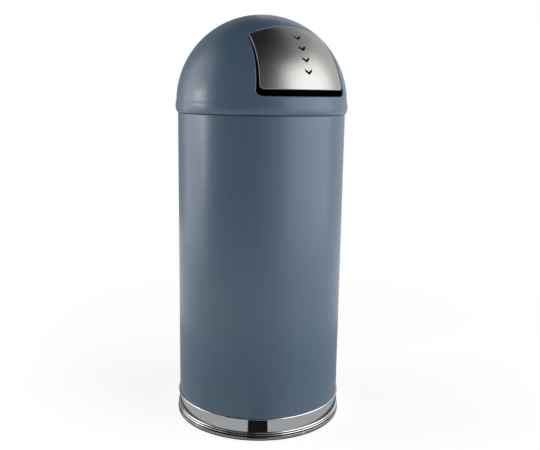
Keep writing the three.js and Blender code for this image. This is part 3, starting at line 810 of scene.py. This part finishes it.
def turned_in(bend, depth, way, **gaps):
    """Rings of a turned-in edge, from its inner end up to the sheet outside it (way 1) or inside it (-1)."""
    rings = [door_ring(0, dome_radius - depth, **gaps)]
    for i in range(edge_steps + 1):
        turn = math.pi / 2 * i / edge_steps
        grow = way * bend * (1 - math.cos(turn))
        rings.append(door_ring(grow, dome_radius - bend * (1 - math.sin(turn)), **gaps))
    return rings


def up_the_front(angle):
    """The direction from the dome's middle to a point of its front, by its angle above the horizontal."""
    return Vector((0, -math.cos(angle), math.sin(angle)))


def bearing(pole, point):
    """How far a point is turned from a pole of the dome, and in which direction square to that pole."""
    direction = (point - dome_centre).normalized()
    turn = pole.angle(direction)
    return turn, (direction - pole * math.cos(turn)).normalized()


def on_great_circle(pole, side, turn):
    return dome_centre + dome_radius * (pole * math.cos(turn) + side * math.sin(turn))


def spread_over_dome(start, pole, latitude, rows):
    """Rings from a closed line on the dome out to a latitude, along great circles through a pole."""
    paths = []
    for point in start:
        first, side = bearing(pole, point)
        amplitude = math.hypot(pole.z, side.z)
        last = math.atan2(side.z, pole.z) + math.acos(math.sin(latitude) / amplitude)
        paths.append((side, first, last))
    shares = [(row / rows) ** 1.25 for row in range(1, rows + 1)]  # closer together near the opening
    return [
        [on_great_circle(pole, side, first + (last - first) * share) for side, first, last in paths]
        for share in shares
    ]


def laid_sheet(name, rings):
    """A sheet laid through closed rings of points: a grid whose rows are moved to the rings."""
    around, rows = len(rings[0]), len(rings)
    select_none()
    bpy.ops.mesh.primitive_grid_add(x_subdivisions=around, y_subdivisions=rows - 1, size=1)
    piece = bpy.context.object
    piece.name = name
    for vertex in piece.data.vertices:
        row, column = divmod(vertex.index, around + 1)
        vertex.co = rings[row][column % around]
    return piece


def thicken(piece):
    """Gives a sheet its wall, inwards from the surface that it was laid on."""
    return modify(piece, "SOLIDIFY", thickness=sheet, offset=-1, use_even_offset=True, use_rim=True)


def eased(share):
    """A curve from one height to another that starts upright and ends upright."""
    return share * share * (3 - 2 * share)


dome_rings = turned_in(opening_bend, opening_flange, 1, **opening_gaps)
dome_rings += spread_over_dome(dome_rings[-1], up_the_front(opening_pole), skirt_start, dome_rows)
foot_ring = [Vector((p.x, p.y, 0)).normalized() for p in dome_rings[-1]]
skirt_top = (dome_radius * math.cos(skirt_start), dome_middle + dome_radius * math.sin(skirt_start))
skirt = []
for i in range(1, skirt_steps + 1):
    share = i / skirt_steps
    height = skirt_top[1] + (skirt_height - skirt_top[1]) * share
    skirt.append((skirt_top[0] + (skirt_reach - skirt_top[0]) * eased(share), height))
for i in range(1, lip_steps + 1):
    turn = math.pi / 2 * i / lip_steps
    height = skirt_height - (skirt_height - seam_height) * math.sin(turn)
    skirt.append((lip_outer + (skirt_reach - lip_outer) * math.cos(turn), height))
skirt.append((lip_inner, seam_height))
dome_rings += [[way * radius + Vector((0, 0, height)) for way in foot_ring] for radius, height in skirt]

dome = shade_round(thicken(finish_mesh(laid_sheet("dome_cover", dome_rings))))
dress(dome, enamel, "dome", "slate_paint", "dome_shell")

# ---- Dome collar ----
# A steel ring welded to the dome's lip: it drops into the can's mouth and keeps the dome central. Spun,
# with a tapered lead-in at its lower edge.

collar_low, collar_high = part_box("dome_collar")
collar_flange = collar_high.x
collar_outer = 0.1834
collar_seat = collar_high.z - sheet
collar_bend = 2 * sheet
collar_ease = 0.0001  # under the flange, where it leaves the ring
collar_lead = 0.003
collar_taper = 0.001
collar_profile = [
    (collar_outer - sheet - collar_taper, collar_low.z),
    (collar_outer - collar_taper, collar_low.z),
    (collar_outer, collar_low.z + collar_lead),
    (collar_outer, collar_seat - collar_ease),
    (collar_flange, collar_seat),
    (collar_flange, collar_high.z),
    *arc((collar_outer + sheet, collar_high.z - collar_bend), collar_bend, 90, 180, 5),
    (collar_outer - sheet, collar_low.z + collar_lead),
]
dress(spin("seat_collar", collar_profile), enamel, "dome", "slate_paint", "dome_collar")

# ---- Hinge rod and clips ----
# One bright zinc-plated steel rod behind the flap's top edge, held by a push-on clip outside each bracket.
# They are turned about the hinge's own axis.


def pivot_of(joint_name):
    """A point on a joint's axis, from the frame."""
    return Vector(next(joint["pos_m"] for joint in frame["joints"] if joint["name"] == joint_name))


hinge = pivot_of("flap_swing")
hinge_angle = math.atan2(hinge.z - dome_middle, -hinge.y)
outward = up_the_front(hinge_angle)
upward = Vector((0, math.sin(hinge_angle), math.cos(hinge_angle)))
turned_steps = 32
rod_radius = 0.0025
rod_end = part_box("hinge_rod")[1].x
rod_ease = 0.0006
clip_radius = 0.005
clip_ease = 0.0003
sides = {"left": -1, "right": 1}


def from_hinge(x, out=0.0, up=0.0):
    """A place given across, outwards and upwards from the middle of the hinge."""
    return Vector((x, hinge.y, hinge.z)) + outward * out + upward * up


def turned_part(name, profile, out=0.0, up=0.0):
    """A small turned part: a profile of (radius, x) points spun round, and laid along the hinge's X axis."""
    piece = spin(name, profile, steps=turned_steps)
    piece.data.transform(Matrix.Translation(from_hinge(0, out, up)) @ Matrix.Rotation(math.pi / 2, 4, "Y"))
    return piece


def pin(radius, start, end, ease, bore=0.0):
    """The profile of a round pin with eased ends, or of a sleeve where it has a bore."""
    return [
        (bore, start),
        (radius - ease, start),
        (radius, start + ease),
        (radius, end - ease),
        (radius - ease, end),
        (bore, end),
    ]


def x_span(node_name):
    """A node's lowest and highest X."""
    low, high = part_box(node_name)
    return low.x, high.x


def bright_zinc(name, colour, roughness, spread):
    """Zinc plate: bluish and bright, mottled, with a fine grain."""
    made, tree, shader = principled(name, Metallic=1.0, IOR=1.5)
    skin = use_group(
        tree, clouds, Color=(*colour, 1), Cloud_Size=60.0, Tone_Spread=0.1, Roughness=roughness,
        Roughness_Spread=spread, Grain_Size=1500.0,
    )
    feed_named(tree, shader, Base_Color=skin.outputs["Color"], Roughness=skin.outputs["Roughness"])
    bump(tree, shader, skin.outputs["Height"], depth=0.00005, strength=0.4)
    return made


zinc = bright_zinc("zinc_plate", (0.52, 0.54, 0.56), roughness=0.33, spread=0.1)
flap_rod = turned_part("flap_rod", pin(rod_radius, -rod_end, rod_end, rod_ease))
dress(flap_rod, zinc, "dome", "zinc", "hinge_rod")

spring_wire = bright_zinc("oiled_spring_wire", (0.24, 0.25, 0.26), roughness=0.3, spread=0.08)
for name in sides:
    start, end = x_span(f"rod_clip_{name}")
    clip = turned_part(f"push_clip_{name}", pin(clip_radius, start, end, clip_ease, bore=rod_radius))
    dress(clip, spring_wire, "dome", "spring_steel", f"rod_clip_{name}")

# ---- Hinge brackets ----
# Two pressed steel plates, zinc plated, each with a foot spot-welded inside the dome, a boss for the rod
# and a stop peg. The plates have their edges eased.

plate_edge = 0.0003


def eased_plate(name, node_name):
    """A copy of a pressed plate, its triangles merged into flat faces and its edges eased."""
    piece = bpy.data.objects.new(name, frame["nodes"][node_name].data.copy())
    scene.collection.objects.link(piece)
    pick(piece)
    bpy.ops.object.mode_set(mode="EDIT")
    bpy.ops.mesh.select_all(action="SELECT")
    bpy.ops.mesh.remove_doubles(threshold=weld)
    bpy.ops.mesh.dissolve_limited(angle_limit=math.radians(1))
    bpy.ops.object.mode_set(mode="OBJECT")
    modify(piece, "BEVEL", width=plate_edge, segments=2, limit_method="ANGLE", angle_limit=math.radians(50))
    return shade_round(piece)


for name in sides:
    bracket = eased_plate(f"bracket_{name}", f"hinge_bracket_{name}")
    dress(bracket, zinc, "dome", "zinc", f"hinge_bracket_{name}")

# ---- Stop sleeves ----
# Black rubber sleeves on the pegs, so that the flap's ears stop softly at both ends of the swing. Turned.

rubber = moulded("black_rubber_mould", (0.014, 0.014, 0.014), roughness=0.62, grain=1200.0, depth=0.00008)
peg_out, peg_up = -0.012, -0.008  # outwards and upwards of the rod
peg_radius = 0.0016
sleeve_radius = 0.0032
sleeve_ease = 0.0007
for name in sides:
    start, end = x_span(f"stop_sleeve_{name}")
    profile = pin(sleeve_radius, start, end, sleeve_ease, bore=peg_radius)
    sleeve = turned_part(f"rubber_sleeve_{name}", profile, peg_out, peg_up)
    dress(sleeve, rubber, "dome", "black_rubber", f"stop_sleeve_{name}")

# ---- Torsion springs ----
# Oiled spring wire wound round the rod: its short leg bears behind the bracket's peg, its long one behind
# the flap.

wire_radius = 0.0008
coil_radius = 0.0052
coil_turns = 4.5
coil_steps = 20  # to a turn
coil_start = 0.0811
coil_end = 0.0702
long_leg_up = -0.035
leg_steps = 4
short_leg = 0.013
cad_facets = 40  # round the dome and the flap; the long leg bears on the flat of one, from the inside
flap_facet = (dome_radius - sheet) * math.cos(math.pi / cad_facets) ** 2


def wire_piece(name, points, radius, sides_round):
    """A round wire along points, with closed ends."""
    line = bpy.data.curves.new(name, "CURVE")
    line.dimensions = "3D"
    line.bevel_depth = radius
    line.bevel_resolution = sides_round
    line.use_fill_caps = True
    spline = line.splines.new("POLY")
    spline.points.add(len(points) - 1)
    for place, point in zip(spline.points, points):
        place.co = (*point, 1)
    piece = bpy.data.objects.new(name, line)
    scene.collection.objects.link(piece)
    pick(piece)
    bpy.ops.object.convert(target="MESH")
    return finish_mesh(bpy.context.object, math.radians(60))


def smooth_path(points, steps):
    """A rounded path through points, with that many steps between each two."""
    path = []
    ends = [points[0] * 2 - points[1], *points, points[-1] * 2 - points[-2]]
    for a, b, c, d in zip(ends, ends[1:], ends[2:], ends[3:]):
        for i in range(steps):
            t = i / steps
            bow = (2 * a - 5 * b + 4 * c - d) * t**2 + (3 * b - a - 3 * c + d) * t**3
            path.append(0.5 * (2 * b + (c - a) * t + bow))
    return [*path, points[-1]]


def spring_points(side):
    """The middle line of a torsion spring, from the end of its short leg to the end of its long one."""
    past_peg = peg_out + peg_radius + seat_gap + wire_radius
    slope = Vector((past_peg + coil_radius + seat_gap, peg_up)).normalized()
    reaches = (short_leg, short_leg * 2 / 3, short_leg / 3)
    tail = [from_hinge(side * coil_start, -coil_radius + slope.x * r, slope.y * r) for r in reaches]
    count = round(coil_turns * coil_steps)
    coil = []
    for i in range(count + 1):
        angle = math.pi - 2 * math.pi * i / coil_steps
        x = coil_start + (coil_end - coil_start) * i / count
        coil.append(from_hinge(side * x, coil_radius * math.cos(angle), coil_radius * math.sin(angle)))
    flap_reach = math.sqrt((flap_facet - seat_gap - wire_radius) ** 2 - coil_end**2)
    tip = math.sqrt(flap_reach**2 - long_leg_up**2) - (hinge - dome_centre).length
    leg = []
    for i in range(1, leg_steps + 1):
        share = i / leg_steps
        out = coil_radius + (tip - coil_radius) * share
        leg.append(from_hinge(side * coil_end, out, long_leg_up * share))
    return smooth_path([*tail, *coil, *leg], 2)


for name, side in sides.items():
    spring = wire_piece(f"wound_spring_{name}", spring_points(side), wire_radius, 3)
    spring.data.materials.append(spring_wire)
    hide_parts(f"torsion_spring_{name}")
    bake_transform(spring)

# ---- Flap ----
# Satin stainless sheet with the dome's own curve, its four edges turned in. A column of four chevrons is
# pierced down its middle, where a hand pushes.

flap_hem = 0.004
flap_bend = 0.0011
flap_pole = math.radians(32)  # the sheet's rings close on a point this high up the front
flap_rows = 34
chevron_angles = (44.2, 35.4, 27.2, 19.2)  # degrees up the front
chevron_half = 0.0085
chevron_drop = 0.0072  # from the arms' ends down to the point
chevron_stroke = 0.0062
cutter_depth = 0.01


def gathered(start, pole, rows):
    """Rings from a closed line on the dome in to a pole in its middle, along great circles."""
    paths = [bearing(pole, point) for point in start]
    shares = [1 - row / rows for row in range(1, rows + 1)]
    return [[on_great_circle(pole, side, turn * share) for turn, side in paths] for share in shares]


def chevron_cutter(angle):
    """A prism through the sheet whose outline is one chevron that points down."""
    low, high = -chevron_drop / 2, chevron_drop / 2
    outline = [
        (0, low),
        (chevron_half, high),
        (chevron_half, high + chevron_stroke),
        (0, low + chevron_stroke),
        (-chevron_half, high + chevron_stroke),
        (-chevron_half, high),
    ]
    select_none()
    bpy.ops.mesh.primitive_circle_add(vertices=len(outline), radius=chevron_half, fill_type="NGON")
    cutter = bpy.context.object
    for vertex, (x, rise) in zip(cutter.data.vertices, outline):
        vertex.co = (x, rise, 0)
    modify(cutter, "SOLIDIFY", thickness=cutter_depth, offset=0)
    turn = Matrix.Rotation(math.pi / 2 - angle, 4, "X")
    cutter.data.transform(Matrix.Translation(on_dome(0, angle, dome_radius)) @ turn)
    return cutter


def tinted(tree, colour, tint):
    """A colour times a tint about white."""
    return node(tree, "ShaderNodeVectorMath", colour, tint, Operation="MULTIPLY").outputs[0]


def satin_steel():
    """Satin stainless: fine polishing lines across the sheet over slow clouds, soft wide reflections."""
    made, tree, shader = principled("satin_stainless", Metallic=1.0, IOR=1.5)
    skin = use_group(
        tree, clouds, Color=(0.38, 0.38, 0.366, 1), Cloud_Size=10.0, Tone_Spread=0.03, Roughness=0.37,
        Roughness_Spread=0.02, Grain_Size=700.0,
    )
    stretch = node(tree, "ShaderNodeMapping", object_place(tree), Scale=(60.0, 2200.0, 2200.0))
    lines = noise(tree, 1.0, 4.0, stretch.outputs[0])
    streak = mixed(tree, lines, (0.95, 0.95, 0.95, 1), (1.05, 1.05, 1.05, 1))
    colour = tinted(tree, skin.outputs["Color"], streak)
    feed_named(tree, shader, Base_Color=colour, Roughness=skin.outputs["Roughness"])
    bump(tree, shader, lines, depth=0.00001, strength=0.12)
    return made


flap_rings = turned_in(flap_bend, flap_hem, -1)
flap_rings += gathered(flap_rings[-1], up_the_front(flap_pole), flap_rows)
flap = thicken(finish_mesh(laid_sheet("push_flap", flap_rings)))
for degrees in chevron_angles:
    cutter = chevron_cutter(math.radians(degrees))
    modify(flap, "BOOLEAN", object=cutter, operation="DIFFERENCE", solver="EXACT")
    bpy.data.objects.remove(cutter)
dress(shade_round(flap), satin_steel(), "flap", "satin_steel", "flap_panel")

# ---- Flap ears and bushes ----
# Two zinc-plated ears spot-welded behind the flap. Each has an arc slot for the stop peg and a flanged nylon
# bush on the rod.

nylon = moulded("natural_nylon", (0.74, 0.71, 0.63), roughness=0.42, grain=700.0, depth=0.00006)
bush_bore = rod_radius + 0.0002
bush_radius = 0.004
bush_flange_radius = 0.0056
bush_flange = 0.001
for name, side in sides.items():
    ear = eased_plate(f"swing_ear_{name}", f"flap_ear_{name}")
    dress(ear, zinc, "flap", "zinc", f"flap_ear_{name}")
    inner, outer = sorted(x_span(f"flap_bush_{name}"), key=abs)
    step = outer - side * bush_flange
    bush_profile = [
        (bush_bore, inner),
        (bush_radius, inner),
        (bush_radius, step),
        (bush_flange_radius, step),
        (bush_flange_radius, outer),
        (bush_bore, outer),
    ]
    dress(turned_part(f"nylon_bush_{name}", bush_profile), nylon, "flap", "nylon", f"flap_bush_{name}")

# ---- Liner ----
# A tapered bucket of galvanised sheet with a rolled rim, a stiffening bead and a bottom let in at its foot.
# Wall and bottom are spun.

liner_low, liner_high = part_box("liner_wall")
liner_sheet = 0.0008
liner_steps = 160
liner_foot_radius = 0.160
liner_top_radius = 0.174
liner_curl = 0.0026
liner_top = liner_high.z - liner_curl
liner_taper = (liner_top_radius - liner_foot_radius) / (liner_top - liner_low.z)
swage_drop = 0.115  # from the rim down to the middle of the stiffening bead
swage_height = liner_high.z - swage_drop
swage_half = 0.005
swage_reach = 0.002
swage_steps = 8
liner_curl_centre = (liner_top_radius - liner_sheet + liner_curl, liner_top)


def liner_radius(height):
    return liner_foot_radius + (height - liner_low.z) * liner_taper


def swage_line():
    """The stiffening bead's outline: one wave of a cosine, from its lower end to its upper end."""
    line = []
    for i in range(swage_steps + 1):
        share = 2 * i / swage_steps - 1
        height = swage_height + swage_half * share
        line.append((liner_radius(height) + swage_reach * (1 + math.cos(math.pi * share)) / 2, height))
    return line


def galvanised_sheet():
    """Hot-dip galvanised sheet: a faint spangle of flat crystals, each with its own tone and gloss."""
    made, tree, shader = principled("galvanised_sheet", Metallic=1.0, IOR=1.5)
    skin = use_group(
        tree, clouds, Color=(0.42, 0.44, 0.45, 1), Cloud_Size=8.0, Tone_Spread=0.06, Roughness=0.42,
        Roughness_Spread=0.05, Grain_Size=500.0,
    )
    crystals = node(tree, "ShaderNodeTexVoronoi", object_place(tree), Scale=90.0)
    facet = node(tree, "ShaderNodeSeparateXYZ", crystals.outputs["Color"])
    spangle = mixed(tree, facet.outputs["X"], (0.84, 0.84, 0.85, 1), (1.16, 1.16, 1.15, 1))
    gloss = node(tree, "ShaderNodeMapRange", Value=facet.outputs["Y"], To_Min=-0.08, To_Max=0.08)
    roughness = arithmetic(tree, "ADD", skin.outputs["Roughness"], gloss.outputs[0])
    feed_named(tree, shader, Base_Color=tinted(tree, skin.outputs["Color"], spangle), Roughness=roughness)
    bump(tree, shader, skin.outputs["Height"], depth=0.00008, strength=0.5)
    return made


galvanised = galvanised_sheet()
liner_profile = [
    (liner_foot_radius - liner_sheet, liner_low.z),
    (liner_foot_radius, liner_low.z),
    *swage_line(),
    *arc(liner_curl_centre, liner_curl - liner_sheet, 180, -60, 12),
    *arc(liner_curl_centre, liner_curl, -60, 180, 14),
    *[(radius - liner_sheet, height) for radius, height in reversed(swage_line())],
]
liner_bucket = spin("liner_bucket", liner_profile, steps=liner_steps)
dress(liner_bucket, galvanised, "liner", "galvanised", "liner_wall")

bottom_recess = 0.006
bottom_flange = 0.0045
bottom_top = liner_low.z + bottom_recess
bottom_foot = bottom_top - bottom_flange
bottom_gap = 0.0002
bottom_ease = 0.001


def bottom_edge(height):
    """Where the liner's bottom ends: just inside the wall."""
    return liner_radius(height) - liner_sheet - bottom_gap


bottom_profile = [
    (0, bottom_top),
    (bottom_edge(bottom_top) - bottom_ease, bottom_top),
    (bottom_edge(bottom_top), bottom_top - bottom_ease),
    (bottom_edge(bottom_foot), bottom_foot),
    (bottom_edge(bottom_foot) - liner_sheet, bottom_foot),
    (bottom_edge(bottom_top) - liner_sheet, bottom_top - liner_sheet),
    (0, bottom_top - liner_sheet),
]
liner_floor = spin("liner_floor", bottom_profile, steps=liner_steps)
dress(liner_floor, galvanised, "liner", "galvanised", "liner_bottom")

# ---- Liner handles ----
# Two drop handles bent from zinc-plated wire, which hang inside the liner in two welded ears each.

handle_radius = 0.0025
handle_half = 0.037
handle_drop = 0.042
handle_bend = 0.009
handle_bend_steps = 8
handle_ear_y = 0.047
handle_ear_thickness = 0.002
handle_past = 0.003


def handle_points(pivot):
    """The middle line of a drop handle: straight ends in the ears, two elbows and a rounded bow."""
    elbow = handle_ear_y - handle_ear_thickness - handle_half
    half = [(handle_ear_y + handle_ear_thickness / 2 + handle_past, 0)]
    half += arc((handle_half + elbow, elbow), elbow, 270, 180, handle_bend_steps)
    half += [(handle_half, handle_drop / 2)]
    bow_centre = (handle_half - handle_bend, handle_drop - handle_bend)
    half += arc(bow_centre, handle_bend, 0, 90, handle_bend_steps)
    front = [pivot + Vector((0, -y, -drop)) for y, drop in half]
    back = [pivot + Vector((0, y, -drop)) for y, drop in reversed(half)]
    return [*front, *back]


for name in sides:
    points = handle_points(pivot_of(f"{name}_handle_swing"))
    handle = wire_piece(f"drop_handle_{name}", points, handle_radius, 5)
    dress(handle, zinc, f"{name}_handle", "zinc", f"liner_handle_{name}")
    for end in ("front", "back"):
        lug = eased_plate(f"handle_lug_{name}_{end}", f"handle_ear_{name}_{end}")
        dress(lug, zinc, "liner", "zinc", f"handle_ear_{name}_{end}")
